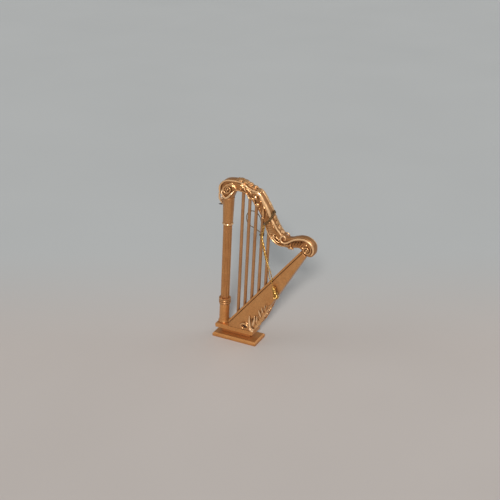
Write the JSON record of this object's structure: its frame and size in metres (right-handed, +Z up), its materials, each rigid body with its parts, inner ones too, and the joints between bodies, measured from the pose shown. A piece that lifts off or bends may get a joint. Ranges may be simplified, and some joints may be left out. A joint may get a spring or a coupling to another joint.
{
  "type": "ornamental harp",
  "caption": "Free-standing gilt table ornament in the form of a scroll-headed concert harp, with rod strings, leaf work and a hanging gold cord with tassel.",
  "frame": {"origin": "centre of the underside of the base plate", "axes": "+Z up; +X from the column towards the soundbox and shoulder; +Y across, to the player's right"},
  "size_m": [0.0942, 0.0207, 0.1516],
  "materials": {
    "gilt_body": "satin gold paint",
    "gilt_bright": "rubbed bright gold paint",
    "gilt_string": "satin gold paint on wire rod",
    "gold_cord": "twisted metallic thread",
    "wood_block": "raw",
    "steel": "plain"
  },
  "bodies": {
    "root": {"base_deck": "gilt_body", "base_plate": "gilt_body", "base_plinth": "gilt_body", "base_screws": "steel", "capital_swag_front": "gilt_bright", "capital_swag_left": "gilt_bright", "capital_swag_right": "gilt_bright", "column_astragal": "gilt_bright", "column_capital": "gilt_body", "column_collar": "gilt_body", "column_pedestal": "gilt_body", "column_rod": "steel", "column_shaft": "gilt_body", "cord_tie": "gold_cord", "cord_upper": "gold_cord", "cord_wrap": "gold_cord", "foot_acanthus_back": "gilt_bright", "foot_acanthus_left": "gilt_bright", "foot_acanthus_right": "gilt_bright", "head_volute_left": "gilt_bright", "head_volute_right": "gilt_bright", "neck": "gilt_body", "neck_acanthus_left": "gilt_bright", "neck_acanthus_right": "gilt_bright", "neck_leaf_lower": "gilt_body", "neck_leaf_upper": "gilt_body", "neck_rail_left": "gilt_bright", "neck_rail_right": "gilt_bright", "shoulder_curl_left": "gilt_bright", "shoulder_curl_right": "gilt_bright", "shoulder_pin": "wood_block", "shoulder_rail_left": "gilt_bright", "shoulder_rail_right": "gilt_bright", "shoulder_volute_left": "gilt_bright", "shoulder_volute_right": "gilt_bright", "soundboard": "gilt_body", "soundbox_back": "gilt_body", "soundbox_foot_block": "wood_block", "soundbox_side_left": "gilt_body", "soundbox_side_right": "gilt_body", "soundbox_top_block": "wood_block", "string_1": "gilt_string", "string_2": "gilt_string", "string_3": "gilt_string", "string_4": "gilt_string", "string_5": "gilt_string", "string_rib": "wood_block"},
    "cord_loop_body": {"cord_loop": "gold_cord"},
    "cord_body": {"cord": "gold_cord", "cord_knot": "gold_cord", "cord_strands": "gold_cord"},
    "tassel_body": {"tassel_bead": "gold_cord", "tassel_stem": "gold_cord", "tassel_head": "gold_cord", "tassel_skirt": "gold_cord"}
  },
  "joints": [
    {"name": "cord_swing", "type": "hinge", "parent": "root", "child": "cord_body", "pos_m": [0.024, -0.0026, 0.1025], "axis": [-1, 0, 0], "range_deg": [0, 60]},
    {"name": "tassel_swing", "type": "hinge", "parent": "cord_body", "child": "tassel_body", "pos_m": [0.0352, -0.00655, 0.0661], "axis": [-1, 0, 0], "range_deg": [0, 75]},
    {"name": "loop_swing", "type": "hinge", "parent": "root", "child": "cord_loop_body", "pos_m": [0.0228, 0.0033, 0.1043], "axis": [-1, 0, 0], "range_deg": [0, 80]}
  ]
}
